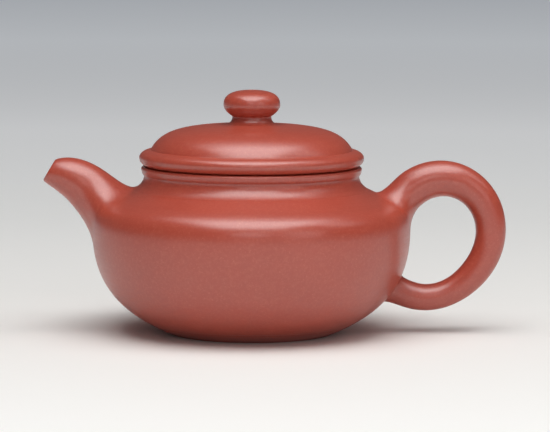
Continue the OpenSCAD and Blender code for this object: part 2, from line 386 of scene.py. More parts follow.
@dataclass
class PotOutline:
    """The pot's outline, in mm: place 0 is the foot, 1 the belly and 2 the neck's waist."""

    foot_r: float = 26.0
    foot_pull: Pair = (18.15, 22.8)  # how strongly the curve leaves the foot, and at what angle
    belly_z: float = 32.9
    belly_pulls: Pair = (16.5, 9.3)  # how strongly it comes to the belly, and leaves it
    neck: Pair = (34.8, 46.6)
    neck_pull: Pair = (11.6, -30.0)
    waist_r: float = 34.0
    waist_drop: float = 0.55  # how far the waist is below the collar's top
    sweep_pulls: Pair = (1.35, 2.05)  # how strongly the neck's sweep leaves its seam and comes in
    seam_low: float = 0.137  # where the base disc ends
    seam_high: float = 1.917  # where the neck collar begins
    wall: float = 3.0

    def __post_init__(self) -> None:
        """Draws the three curves, with the belly's breadth and the neck's height from the frame."""
        belly_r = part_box("body_wall")[1].y / MM
        belly = (belly_r, self.belly_z)
        foot = np.array([self.foot_r, 0.0])
        neck = np.array(self.neck)
        self.low = Bend(foot, foot + turned_vector(*self.foot_pull),
                        (belly_r, self.belly_z - self.belly_pulls[0]), belly)
        self.high = Bend(belly, (belly_r, self.belly_z + self.belly_pulls[1]),
                         neck + turned_vector(*self.neck_pull), neck)
        seam = self.high.at(self.seam_high - 1)
        away = self.sweep_pulls[0] * unit(self.high.slope(self.seam_high - 1))
        waist = (self.waist_r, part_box("neck_collar")[1].z / MM - self.waist_drop)
        self.sweep = Bend(seam, seam + away, (waist[0] + 0.1, waist[1] - self.sweep_pulls[1]),
                          waist)

    def stretch(self, place: float) -> tuple[Bend, float]:
        """Returns the curve that a place lies on, and the place on it from 0 to 1."""
        if place < 1:
            return self.low, place
        if place <= self.seam_high:
            return self.high, place - 1
        return self.sweep, (place - self.seam_high) / (2 - self.seam_high)

    def at(self, place: float) -> np.ndarray:
        """Returns the outline's point at a place."""
        curve, t = self.stretch(place)
        return curve.at(t)

    def direction(self, place: float) -> np.ndarray:
        """Returns the outline's upward direction at a place."""
        curve, t = self.stretch(place)
        return unit(curve.slope(t))

    def outward(self, place: float) -> np.ndarray:
        """Returns the direction that faces away from the clay at a place."""
        return right_of(self.direction(place))

    def inner(self, place: float) -> np.ndarray:
        """Returns the point on the inner side of the wall at a place."""
        return self.at(place) - self.wall * self.outward(place)

    def skin(self, place: float, y: float, side: Side, lift: float) -> np.ndarray:
        """Returns the point of the pot's skin at a place and a distance across the pot.

        Args:
            place: the place on the outline.
            y: the distance from the plane of the spout and the handle, in mm.
            side: the side of the pot.
            lift: how far the point stands off the skin, in mm.

        Returns:
            The point in space, in mm.
        """
        r, z = self.at(place) + lift * self.outward(place)
        return np.array([side.value * math.sqrt(r * r - y * y), y, z])


class Section:
    """A turned piece's section: points in mm, with how far each is burnished, from 0 to 1."""

    CORNER_STEPS = 4

    def __init__(self, corner: float = 0.25) -> None:
        """Starts empty, with the radius that its corners are softened by."""
        self.corner = corner
        self.points: list[np.ndarray] = []
        self.burnish: list[float] = []

    def run(self, points: list[np.ndarray], burnish: float = RUBBED) -> Section:
        """Adds a stretch of points as they are."""
        for point in points:
            self.points.append(np.array(point, float))
            self.burnish.append(burnish)
        return self

    def soft(self, before: Pair, corner: Pair, after: Pair, burnish: float = RUBBED,
             radius: float | None = None) -> Section:
        """Adds a softened corner.

        Args:
            before: the point that the section comes from.
            corner: the corner itself.
            after: the point that the section goes on to.
            burnish: how far the corner is burnished.
            radius: how far the softening reaches each way, or None for the section's own.

        Returns:
            The section.
        """
        reach = self.corner if radius is None else radius
        tip = np.array(corner, float)
        start = tip + reach * unit(np.array(before, float) - tip)
        end = tip + reach * unit(np.array(after, float) - tip)
        places = np.linspace(0, 1, self.CORNER_STEPS + 1)
        return self.run([rounding(start, tip, end, t) for t in places], burnish)

    def corners(self, points: list[Pair], burnish: float = RAW) -> Section:
        """Adds a chain of straight stretches: all but its first and last point are softened."""
        for before, corner, after in zip(points, points[1:], points[2:]):
            self.soft(before, corner, after, burnish)
        return self

    def closed(self) -> Section:
        """Ends the section where it starts."""
        self.points.append(self.points[0])
        self.burnish.append(self.burnish[0])
        return self

    def mesh(self, name: str) -> bpy.types.Mesh:
        """Returns the section as loose points in metres, with its burnish and travelled length."""
        flat = np.array(self.points) * MM
        mesh = bpy.data.meshes.new(name)
        mesh.from_pydata([(r, 0.0, z) for r, z in flat], [], [])
        steps = np.linalg.norm(np.diff(flat, axis=0), axis=1)
        travel = np.concatenate([[0.0], np.cumsum(steps)])
        for label, values in (("burnish", self.burnish), ("travel", travel)):
            layer = mesh.attributes.new(label, "FLOAT", "POINT")
            layer.data.foreach_set("value", np.array(values, np.float32))
        return mesh


# ---------------------------------------------------------------------------- making trees


@dataclass(frozen=True)
class HandWork:
    """How far the hand-worked clay strays from a true turned shape, in metres."""

    waver: float = 0.00009
    spread: float = 0.034  # from one hollow to the next
    calm_radius: float = 0.012  # nearer the axis than this the shape strays less

    def tree(self) -> bpy.types.NodeTree:
        """Builds the tree that moves a shape's skin slowly in and out from the pot's axis."""
        graph = Graph.making("Hand Waver", {
            "Waver": (FLOAT, self.waver),
            "Spread": (FLOAT, self.spread),
            "Calm Radius": (FLOAT, self.calm_radius)})
        place = graph.add("GeometryNodeInputPosition").outputs[0]
        flat = graph.vector_math("MULTIPLY", place, (1.0, 1.0, 0.0))
        pace = graph.over(1.0, graph.source["Spread"])
        wave = graph.less(graph.noise(place, pace, detail=1.0), 0.5)
        calm = graph.over(graph.length(flat), graph.source["Calm Radius"])
        share = graph.math("MINIMUM", calm, 1.0)
        reach = graph.times(graph.times(wave, 2.0), graph.source["Waver"])
        move = graph.scaled(graph.vector_math("NORMALIZE", flat), graph.times(reach, share))
        moved = graph.add("GeometryNodeSetPosition", {
            "Geometry": graph.source["Geometry"], "Offset": move}).outputs[0]
        return graph.finish(graph.add("GeometryNodeSetShadeSmooth", {"Geometry": moved}).outputs[0])


def turning_tree(waver: bpy.types.NodeTree) -> bpy.types.NodeTree:
    """Builds the tree that turns a section round the pot's axis.

    Args:
        waver: the tree that strays the turned shape and gives it its material.

    Returns:
        The tree. It leaves the attributes burnish and stroke on the mesh.
    """
    graph = Graph.making("Clay Turning", {
        "Steps Round": (WHOLE, STEPS_ROUND),
        "Stroke Length": (FLOAT, STROKE_LENGTH * MM),
        "Stroke Breadth": (FLOAT, STROKE_BREADTH * MM),
        "Waver": (FLOAT, 0.0)})
    section = graph.source["Geometry"]
    count = graph.add("GeometryNodeAttributeDomainSize", {0: section}).outputs["Point Count"]
    sheet = graph.add("GeometryNodeMeshGrid", {
        "Size X": 1.0, "Size Y": 1.0,
        "Vertices X": graph.plus(graph.source["Steps Round"], 1.0),
        "Vertices Y": count}).outputs["Mesh"]
    across, along, _ = graph.xyz(graph.add("GeometryNodeInputPosition").outputs[0])
    last = graph.less(count, 1.0)
    index = graph.math("ROUND", graph.times(graph.plus(along, 0.5), last))
    angle = graph.times(graph.plus(across, 0.5), math.tau)

    def sampled(kind: str, field: Socket) -> Socket:
        """Reads a value of the section at this row of the sheet."""
        inputs = {"Geometry": section, "Value": field, "Index": index}
        return graph.add("GeometryNodeSampleIndex", inputs, data_type=kind,
                         domain="POINT").outputs["Value"]

    def named(label: str) -> Socket:
        """Reads one of the section's named numbers."""
        return graph.add("GeometryNodeInputNamedAttribute", {"Name": label}).outputs["Attribute"]

    def stored(mesh: Socket, label: str, kind: str, value: Socket) -> Socket:
        """Keeps a value on the mesh under a name."""
        inputs = {"Geometry": mesh, "Name": label, "Value": value}
        return graph.add("GeometryNodeStoreNamedAttribute", inputs, data_type=kind,
                         domain="POINT").outputs["Geometry"]

    spot = graph.add("GeometryNodeInputPosition").outputs[0]
    r, _, z = graph.xyz(sampled("FLOAT_VECTOR", spot))
    x = graph.times(r, graph.math("COSINE", angle))
    y = graph.times(r, graph.math("SINE", angle))
    length = graph.source["Stroke Length"]
    stroke = graph.joined(
        graph.over(x, length), graph.over(y, length),
        graph.over(sampled("FLOAT", named("travel")), graph.source["Stroke Breadth"]))
    sheet = stored(sheet, "burnish", "FLOAT", sampled("FLOAT", named("burnish")))
    sheet = stored(sheet, "stroke", "FLOAT_VECTOR", stroke)
    turned = graph.add("GeometryNodeSetPosition", {
        "Geometry": sheet, "Position": graph.joined(x, y, z)}).outputs[0]
    merged = graph.add("GeometryNodeMergeByDistance", {
        "Geometry": turned, "Distance": MERGE_WITHIN * MM}).outputs[0]
    return graph.finish(graph.add("GeometryNodeGroup", {
        "Geometry": merged, "Waver": graph.source["Waver"],
        "Material": graph.source["Material"]}, node_tree=waver).outputs[0])


def piercing_tree() -> bpy.types.NodeTree:
    """Builds the tree that pierces a small clay dome with rings of holes.

    Returns:
        The tree. The dome bulges down from the ball's middle, which is on the Z axis.
    """
    graph = Graph.making("Strainer Holes", {
        "Rings": (WHOLE, 3),
        "Hole Diameter": (FLOAT, 1.5 * MM),
        "Ball Radius": (FLOAT, 8.2 * MM),
        "Ball Height": (FLOAT, 4.0 * MM),
        "Band": (FLOAT, math.radians(16)),
        "Twist": (FLOAT, math.radians(7))})
    rings = graph.source["Rings"]
    pairs = graph.times(rings, graph.plus(rings, 1.0))
    count = graph.plus(graph.times(pairs, 3.0), 1.0)
    points = graph.add("GeometryNodePoints", {"Count": count}).outputs[0]
    index = graph.add("GeometryNodeInputIndex").outputs[0]
    # Ring k starts at hole 1 + 3k(k - 1), so hole i is in ring k = (3 + sqrt(12 i - 3)) / 6, whole.
    # The sum starts a hair over 3, so that rounding never drops a hole into the ring before.
    under = graph.math("MAXIMUM", graph.less(graph.times(index, 12.0), 3.0), 0.0)
    root = graph.plus(graph.math("SQRT", under), 3.006)
    ring = graph.math("MINIMUM", graph.math("FLOOR", graph.over(root, 6.0)), index)
    before = graph.times(ring, graph.less(ring, 1.0))
    first = graph.plus(graph.times(before, 3.0), 1.0)
    whole = graph.math("MAXIMUM", graph.times(ring, 6.0), 1.0)
    share = graph.over(graph.less(index, first), whole)
    turn = graph.plus(graph.times(share, math.tau), graph.source["Twist"])
    tilt = graph.times(ring, graph.source["Band"])
    breadth = graph.math("SINE", tilt)
    ray = graph.joined(graph.times(breadth, graph.math("COSINE", turn)),
                       graph.times(breadth, graph.math("SINE", turn)),
                       graph.times(graph.math("COSINE", tilt), -1.0))
    middle = graph.joined(0.0, 0.0, graph.source["Ball Height"])
    spot = graph.vector_math("ADD", graph.scaled(ray, graph.source["Ball Radius"]), middle)
    placed = graph.add("GeometryNodeSetPosition", {"Geometry": points, "Position": spot}).outputs[0]
    awl = graph.add("GeometryNodeMeshCylinder", {
        "Vertices": 20, "Radius": graph.over(graph.source["Hole Diameter"], 2.0),
        "Depth": graph.source["Ball Radius"]}).outputs["Mesh"]
    aim = graph.add("FunctionNodeAlignRotationToVector", {"Vector": ray}, axis="Z").outputs[0]
    awls = graph.add("GeometryNodeInstanceOnPoints", {
        "Points": placed, "Instance": awl, "Rotation": aim}).outputs[0]
    tools = graph.add("GeometryNodeRealizeInstances", {0: awls}).outputs[0]
    return graph.finish(graph.add("GeometryNodeMeshBoolean", {
        0: graph.source["Geometry"], 1: tools}, operation="DIFFERENCE", solver="MANIFOLD").outputs[0])


# ---------------------------------------------------------------------------- finishes


class ClayShading:
    """The shader groups that every clay finish shares."""

    def __init__(self) -> None:
        """Builds the three groups."""
        self.colour = self.colour_group()
        self.grain = self.grain_group()
        self.marks = self.marks_group()

    @staticmethod
    def colour_group() -> bpy.types.NodeTree:
        """Builds the group that clouds and specks the clay's colour."""
        graph = Graph.group("Clay Colour", "ShaderNodeTree", {
            "Place": (VECTOR, None),
            "Base": (COLOUR, (0.5, 0.1, 0.1, 1.0)),
            "Dark": (COLOUR, (0.2, 0.1, 0.1, 1.0)),
            "Pale": (COLOUR, (0.6, 0.3, 0.2, 1.0)),
            "Cloud": (FLOAT, 0.2),
            "Speck": (FLOAT, 0.3)}, {"Color": COLOUR})
        place = graph.source["Place"]
        cloud = graph.ranged(graph.noise(place, 48.0, 3.0, 0.55), 0.35, 0.68)
        dust = graph.ranged(graph.noise(place, 950.0, 3.0, 0.6), 0.45, 0.75)
        sand = graph.ranged(graph.noise(place, 2300.0, 1.0, 0.5), 0.62, 0.74)
        iron = graph.ranged(graph.cells(place, 620.0), 0.05, 0.11, 1.0, 0.0)
        colour = graph.source["Base"]
        for mask, strength, shade in ((cloud, "Cloud", "Dark"), (dust, "Cloud", "Pale"),
                                      (sand, "Speck", "Pale"), (iron, "Speck", "Dark")):
            share = graph.times(mask, graph.source[strength])
            colour = graph.tinted(share, colour, graph.source[shade])
        graph.fill(graph.sink["Color"], colour)
        return graph.tree

    @staticmethod
    def grain_group() -> bpy.types.NodeTree:
        """Builds the group for the clay's sandy grain and its pinholes."""
        graph = Graph.group("Clay Grain", "ShaderNodeTree", {
            "Place": (VECTOR, None),
            "Pits": (FLOAT, 0.5)}, {"Height": FLOAT})
        place = graph.source["Place"]
        fine = graph.noise(place, 2600.0, 3.0, 0.62)
        broad = graph.noise(place, 700.0, 2.0, 0.5)
        pits = graph.ranged(graph.cells(place, 480.0), 0.04, 0.13, 1.0, 0.0)
        sandy = graph.plus(graph.times(fine, 0.7), graph.times(broad, 0.5))
        height = graph.less(sandy, graph.times(pits, graph.source["Pits"]))
        graph.fill(graph.sink["Height"], height)
        return graph.tree

    @staticmethod
    def marks_group() -> bpy.types.NodeTree:
        """Builds the group for the marks that the burnishing tool leaves along its stroke."""
        graph = Graph.group("Burnish Marks", "ShaderNodeTree", {
            "Stroke": (VECTOR, None)}, {"Mark": FLOAT})
        long_marks = graph.noise(graph.source["Stroke"], 1.0, 2.0, 0.55)
        hairs = graph.noise(graph.source["Stroke"], 3.1, 1.0, 0.5)
        mark = graph.plus(graph.times(long_marks, 0.7), graph.times(hairs, 0.3))
        graph.fill(graph.sink["Mark"], graph.ranged(mark, 0.32, 0.68))
        return graph.tree


@dataclass(frozen=True)
class ClayFinish:
    """One finish of the fired clay. Colours are linear."""

    name: str
    base: Paint
    dark: Paint
    pale: Paint
    raw: float = 0.8  # roughness where the clay is left as it was thrown
    burnished: float = 0.31  # roughness where it is burnished
    cloud: float = 0.22  # how far the colour clouds
    speck: float = 0.35  # how far sand and iron speck it
    pits: float = 0.35  # the depth of the pinholes in the grain
    relief: float = 0.00003  # height of the grain, in metres
    mark_share: float = 0.35  # the burnishing marks' share of the relief
    mark_gloss: float = 0.03  # how far the marks change the roughness each way
    gloss: float = 1.0  # how strongly the surface reflects, where 0.5 is plain clay

    def material(self, shading: ClayShading) -> bpy.types.Material:
        """Builds the material.

        Args:
            shading: the groups that all clay finishes share.

        Returns:
            The material.
        """
        material = bpy.data.materials.new(self.name)
        material.use_nodes = True
        graph = Graph(material.node_tree)
        place = graph.add("ShaderNodeTexCoord").outputs["Object"]
        burnish = graph.add("ShaderNodeAttribute", attribute_name="burnish").outputs["Fac"]
        stroke = graph.add("ShaderNodeAttribute", attribute_name="stroke").outputs["Vector"]
        colour = graph.add("ShaderNodeGroup", {
            "Place": place, "Base": self.base, "Dark": self.dark, "Pale": self.pale,
            "Cloud": self.cloud, "Speck": self.speck}, node_tree=shading.colour)
        grain = graph.add("ShaderNodeGroup", {"Place": place, "Pits": self.pits},
                          node_tree=shading.grain)
        marks = graph.add("ShaderNodeGroup", {"Stroke": stroke}, node_tree=shading.marks)
        mark = graph.times(marks.outputs["Mark"], burnish)
        even = graph.mixed(burnish, self.raw, self.burnished)
        change = graph.ranged(mark, 0.0, 1.0, self.mark_gloss, -self.mark_gloss)
        rough = graph.plus(even, change)
        relief = graph.times(mark, self.mark_share)
        height = graph.plus(grain.outputs["Height"], relief)
        bump = graph.add("ShaderNodeBump", {
            "Strength": 1.0, "Distance": self.relief, "Height": height})
        shader = graph.add("ShaderNodeBsdfPrincipled", {
            "Base Color": colour.outputs["Color"], "Roughness": rough, "Normal": bump.outputs[0],
            "Specular IOR Level": self.gloss, "IOR": 1.5, "Metallic": 0.0})
        graph.add("ShaderNodeOutputMaterial", {"Surface": shader.outputs[0]})
        return material


BURNISHED = ClayFinish(
    "burnished_red_clay", (0.43, 0.062, 0.035, 1.0), (0.32, 0.041, 0.022, 1.0),
    (0.60, 0.17, 0.11, 1.0))
INNER = ClayFinish(
    "inner_red_clay", (0.34, 0.080, 0.054, 1.0), (0.25, 0.050, 0.034, 1.0),
    (0.50, 0.19, 0.13, 1.0), raw=0.85, burnished=0.6, relief=0.00006, gloss=0.4)


@dataclass
class Workshop:
    """The trees and finishes that every piece is made with."""

    waver: bpy.types.NodeTree
    turning: bpy.types.NodeTree
    piercing: bpy.types.NodeTree
    finishes: dict[Slot, bpy.types.Material]
    hand: HandWork

    @classmethod
    def open(cls) -> Workshop:
        """Builds the trees and the finishes."""
        hand = HandWork()
        waver = hand.tree()
        shading = ClayShading()
        finishes = {Slot.RED_CLAY: BURNISHED.material(shading),
                    Slot.INNER_CLAY: INNER.material(shading)}
        return cls(waver, turning_tree(waver), piercing_tree(), finishes, hand)

    def turned(self, name: str, section: Section, slot: Slot, waver: bool = True,
               steps: int = STEPS_ROUND) -> bpy.types.Object:
        """Turns a section round the pot's axis.

        Args:
            name: the piece's name.
            section: its section, whose clay is on the left of its points' direction.
            slot: the finish.
            waver: whether the piece strays with the hand's work.
            steps: the number of steps round the axis.

        Returns:
            The piece.
        """
        piece = put(name, section.mesh(name))
        run_tree(piece, self.turning, {
            "Steps Round": steps,
            "Waver": self.hand.waver if waver else 0.0,
            "Material": self.finishes[slot]})
        piece.data.set_sharp_from_angle(angle=SHARP_ANGLE)
        return piece

    def lofted(self, name: str, loft: Loft, slot: Slot) -> bpy.types.Object:
        """Makes a piece from a loft's rings, straying with the pot that it is luted to."""
        piece = put(name, loft.mesh(name))
        run_tree(piece, self.waver, {
            "Waver": self.hand.waver, "Spread": self.hand.spread,
            "Calm Radius": self.hand.calm_radius, "Material": self.finishes[slot]})
        piece.data.set_sharp_from_angle(angle=SHARP_ANGLE)
        return piece


def settle(piece: bpy.types.Object, body: Body, slot: Slot, node: str) -> None:
    """Puts a piece on its body and in place of its node, and reports it."""
    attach(piece, body.value)
    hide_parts(node)
    LOG.info("%s: %d faces, stands for %s on %s", piece.name, len(piece.data.polygons),
             node, body.value)


# ---------------------------------------------------------------------------- lofts


class Loft:
    """A pipe of rings, all with the same number of points, in mm."""

    CLOSED = False  # whether the last ring joins the first

    def __init__(self, sides: int) -> None:
        """Starts with no rings."""
        self.sides = sides
        self.turns = np.linspace(0, math.tau, sides, endpoint=False)
        self.rings: list[np.ndarray] = []
        self.burnish: list[float] = []

    def add(self, rings: list[np.ndarray], burnish: float = RUBBED) -> Loft:
        """Adds rings to the pipe's end."""
        self.rings.extend(rings)
        self.burnish.extend([burnish] * len(rings))
        return self

    def oval(self, up: np.ndarray, down: np.ndarray, half_breadth: float) -> np.ndarray:
        """Returns an upright ring that crosses the pot's plane at two points.

        Args:
            up: the ring's outer point in that plane, as x and z.
            down: its inner point.
            half_breadth: half its breadth across the plane.

        Returns:
            The ring's points, from up round by the +Y side.
        """
        middle = (up + down) / 2
        half = (up - down) / 2
        flat = middle + np.cos(self.turns)[:, None] * half
        return np.column_stack([flat[:, 0], half_breadth * np.sin(self.turns), flat[:, 1]])

    def mesh(self, name: str) -> bpy.types.Mesh:
        """Returns the pipe as a mesh in metres. An open pipe's ends are closed to a point.

        Args:
            name: the mesh's name.

        Returns:
            The mesh, with the attributes burnish and stroke.
        """
        rings = np.array(self.rings)
        count = len(rings)
        points = list(rings.reshape(-1, 3) * MM)
        burnish = list(np.repeat(self.burnish, self.sides))
        stroke = list(self.strokes(rings).reshape(-1, 3))
        faces = []
        for i in range(count if self.CLOSED else count - 1):
            for k in range(self.sides):
                a = i * self.sides + k
                b = i * self.sides + (k + 1) % self.sides
                c = ((i + 1) % count) * self.sides
                faces.append((a, b, c + (k + 1) % self.sides, c + k))
        if not self.CLOSED:
            for ring, flipped in ((0, True), (count - 1, False)):
                tip = len(points)
                points.append(rings[ring].mean(axis=0) * MM)
                burnish.append(0.0)
                stroke.append(stroke[ring * self.sides])
                for k in range(self.sides):
                    a = ring * self.sides + k
                    b = ring * self.sides + (k + 1) % self.sides
                    faces.append((b, a, tip) if flipped else (a, b, tip))
        mesh = bpy.data.meshes.new(name)
        mesh.from_pydata([tuple(p) for p in points], [], faces)
        if volume(mesh) < 0:
            mesh.flip_normals()
        mesh.attributes.new("burnish", "FLOAT", "POINT").data.foreach_set(
            "value", np.array(burnish, np.float32))
        mesh.attributes.new("stroke", "FLOAT_VECTOR", "POINT").data.foreach_set(
            "vector", np.array(stroke, np.float32).ravel())
        return mesh

    def strokes(self, rings: np.ndarray) -> np.ndarray:
        """Returns where each point lies along and across the burnishing strokes."""
        middles = rings.mean(axis=1)
        steps = np.linalg.norm(np.diff(middles, axis=0), axis=1)
        along = np.concatenate([[0.0], np.cumsum(steps)]) / STROKE_LENGTH
        radius = np.linalg.norm(rings - middles[:, None], axis=2).mean(axis=1) / STROKE_BREADTH
        return np.stack([radius[:, None] * np.cos(self.turns), radius[:, None] * np.sin(self.turns),
                         np.repeat(along[:, None], self.sides, axis=1)], axis=2)


class ClosedLoft(Loft):
    """A pipe whose last ring joins its first, as a hollow spout's skin does."""

    CLOSED = True


def volume(mesh: bpy.types.Mesh) -> float:
    """Returns a closed mesh's volume, below zero if its faces point inwards."""
    mesh.calc_loop_triangles()
    corners = np.zeros(len(mesh.vertices) * 3)
    mesh.vertices.foreach_get("co", corners)
    triangles = np.zeros(len(mesh.loop_triangles) * 3, np.int32)
    mesh.loop_triangles.foreach_get("vertices", triangles)
    a, b, c = corners.reshape(-1, 3)[triangles.reshape(-1, 3)].transpose(1, 0, 2)
    return float(np.einsum("ij,ij->i", a, np.cross(b, c)).sum() / 6)


@dataclass(frozen=True)
class Root:
    """The patch of the pot's skin that a spout or a handle is luted to, in mm."""

    outline: PotOutline
    side: Side
    middle: float
    half_length: float  # along the outline, below zero where the ring is turned over
    half_breadth: float
    lift: float = 0.012

    def ring(self, turns: np.ndarray, share: float = 1.0, sink: float = 0.0) -> np.ndarray:
        """Returns a ring on the skin.

        Args:
            turns: the ring's angles, from its upper or outer point.
            share: the ring's size as a share of the root's.
            sink: how far it lies below the skin.

        Returns:
            The ring's points.
        """
        return np.array([
            self.outline.skin(self.middle + share * self.half_length * math.cos(turn),
                              share * self.half_breadth * math.sin(turn), self.side,
                              self.lift - sink)
            for turn in turns])

    def ways(self, turns: np.ndarray) -> np.ndarray:
        """Returns the directions in which a blend comes in along the skin, at the ring's points."""
        return ways_between(self.ring(turns, 0.97), self.ring(turns))


def blend_rings(start: np.ndarray, leave: np.ndarray, arrive: np.ndarray, end: np.ndarray,
                pulls: Pair, steps: int) -> list[np.ndarray]:
    """Returns the rings that sweep from one ring to another.

    Args:
        start: the first ring, which isn't repeated.
        leave: the directions in which its points leave.
        arrive: the directions in which they come into the last ring.
        end: the last ring.
        pulls: how strongly the two directions pull, as shares of each point's way.
        steps: the number of rings.

    Returns:
        The rings, ending with the last one.
    """
    span = np.linalg.norm(end - start, axis=1)[:, None]
    first = start + pulls[0] * span * leave
    second = end - pulls[1] * span * arrive
    return [cubic(start, first, second, end, t) for t in np.linspace(0, 1, steps + 1)[1:]]


def ways_between(first: np.ndarray, second: np.ndarray) -> np.ndarray:
    """Returns the directions from one ring's points to another's."""
    step = second - first
    return step / np.linalg.norm(step, axis=1)[:, None]


# ---------------------------------------------------------------------------- the pot


@dataclass(frozen=True)
class Port:
    """The hole through the wall behind the spout, in mm."""

    outline: PotOutline
    place: float = 1.395  # of its middle, on the outline
    bore: float = 13.4
    lean: float = math.radians(8)  # towards the belly, where the skin curves away faster
    cutter_length: float = 12.0
    cutter_sides: int = 64

    def seat(self) -> Matrix:
        """Returns the place of its middle on the skin, with its Z axis facing outwards."""
        r, z = self.outline.at(self.place) * MM
        n = self.outline.outward(self.place)
        tilt = Matrix.Rotation(-math.atan2(n[0], n[1]) - self.lean, 4, "Y")
        return Matrix.Translation((-r, 0.0, z)) @ tilt

    def pierce(self, piece: bpy.types.Object) -> None:
        """Cuts the hole through a piece."""
        bpy.ops.mesh.primitive_cylinder_add(
            vertices=self.cutter_sides, radius=self.bore / 2 * MM, depth=self.cutter_length * MM)
        cutter = bpy.context.object
        cutter.matrix_world = self.seat()
        cut = piece.modifiers.new("port", "BOOLEAN")
        cut.operation = "DIFFERENCE"
        cut.solver = "MANIFOLD"
        cut.object = cutter
        apply_modifier(piece, cut)
        piece.data.set_sharp_from_angle(angle=SHARP_ANGLE)
        bpy.data.objects.remove(cutter)


@dataclass
class Pot:
    """The luted pot without its spout and handle, in mm."""

    shop: Workshop
    outline: PotOutline
    port: Port
    mouth_r: float = 31.0
    foot_flat: float = 4.0  # the breadth of the ring that the pot stands on
    foot_hollow: float = 1.6  # how far the middle is pressed up
    floor_z: float = 3.0
    overlap: float = 2.0  # how far the base disc and the wall overlap
    neck_depth: float = 1.9  # how far the mouth's bore goes down into the wall

    def build(self) -> None:
        """Builds the base disc, the wall, the neck and the mouth bead."""
        red = Slot.RED_CLAY
        settle(self.shop.turned("foot_disc", self.foot(), red), Body.POT, red, "base_disc")
        settle(self.pierced_wall(), Body.POT, red, "body_wall")
        settle(self.shop.turned("neck", self.neck(), red), Body.POT, red, "neck_collar")
        settle(self.shop.turned("mouth_bead", self.bead(), red), Body.POT, red, "mouth_ring")

    def seam_inner_r(self) -> float:
        """Returns the radius where the seam of the base disc and the wall ends inside."""
        return self.outline.inner(self.outline.seam_low)[0] - self.overlap

    def foot(self) -> Section:
        """Draws the base disc, pressed up in the middle, from its axis round to its axis."""
        flat_r = self.outline.foot_r - self.foot_flat
        pressed = Bend((flat_r, 0), (flat_r - 4, 0.1), (10, self.foot_hollow), (0, self.foot_hollow))
        seam = self.outline.at(self.outline.seam_low)
        inner_r = self.seam_inner_r()
        top = self.floor_z + self.foot_hollow
        floor = Bend((inner_r, seam[1]), (inner_r - 6, self.floor_z + 0.1), (12, top), (0, top))
        heel = (self.outline.foot_r, 0.0)
        section = Section().run(pressed.points(16)[::-1], 0.3)
        section.soft((flat_r, 0), heel, self.outline.at(0.05), 0.6, 0.35)
        places = np.linspace(0.04, self.outline.seam_low, 8)
        section.run([self.outline.at(m) for m in places])
        return section.run([seam, (inner_r, seam[1])], RAW).run(floor.points(16), RAW)

    def wall(self) -> Section:
        """Draws the wall from the base seam over the belly to the neck, and back inside."""
        places = np.linspace(self.outline.seam_low, self.outline.seam_high, 110)
        top = self.outline.at(self.outline.seam_high)[1]
        low = self.outline.at(self.outline.seam_low)
        section = Section().run([self.outline.at(m) for m in places])
        section.run([(self.mouth_r, top), (self.mouth_r, top - self.neck_depth)], RAW)
        section.run([self.outline.inner(m) for m in places[::-2]], RAW)
        return section.run([(self.seam_inner_r(), low[1])], RAW).closed()

    def pierced_wall(self) -> bpy.types.Object:
        """Turns the wall and cuts the port behind the spout."""
        piece = self.shop.turned("belly_wall", self.wall(), Slot.RED_CLAY)
        self.port.pierce(piece)
        return piece

    def neck(self) -> Section:
        """Draws the collar that sweeps up from the shoulder into the mouth."""
        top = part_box("neck_collar")[1].z / MM
        sweep = self.outline.sweep
        section = Section().run(sweep.points(28))
        section.run([(self.outline.waist_r + 0.05, top)])
        section.run([(self.mouth_r, top), (self.mouth_r, sweep.start[1])], WIPED)
        return section.closed()

    def bead(self) -> Section:
        """Draws the bead round the mouth, with softened inner edges."""
        low, high = (corner.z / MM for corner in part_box("mouth_ring"))
        bead_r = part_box("mouth_ring")[1].y / MM
        crest = (bead_r, high - 0.75)
        waist_r = self.outline.waist_r
        under = Bend((waist_r + 0.25, low), (waist_r + 0.45, low + 0.15),
                     (crest[0] - 0.05, crest[1] - 0.85), crest)
        over = Bend(crest, (crest[0] + 0.02, crest[1] + 0.35), (bead_r - 0.45, high),
                    (bead_r - 1.5, high))
        mouth = (self.mouth_r, high)
        section = Section().run([(self.mouth_r, low)], WIPED).run(under.points(10))
        section.run(over.points(10)[1:])
        section.soft((bead_r, high), mouth, (self.mouth_r, low), 0.7, 0.6)
        return section.closed()


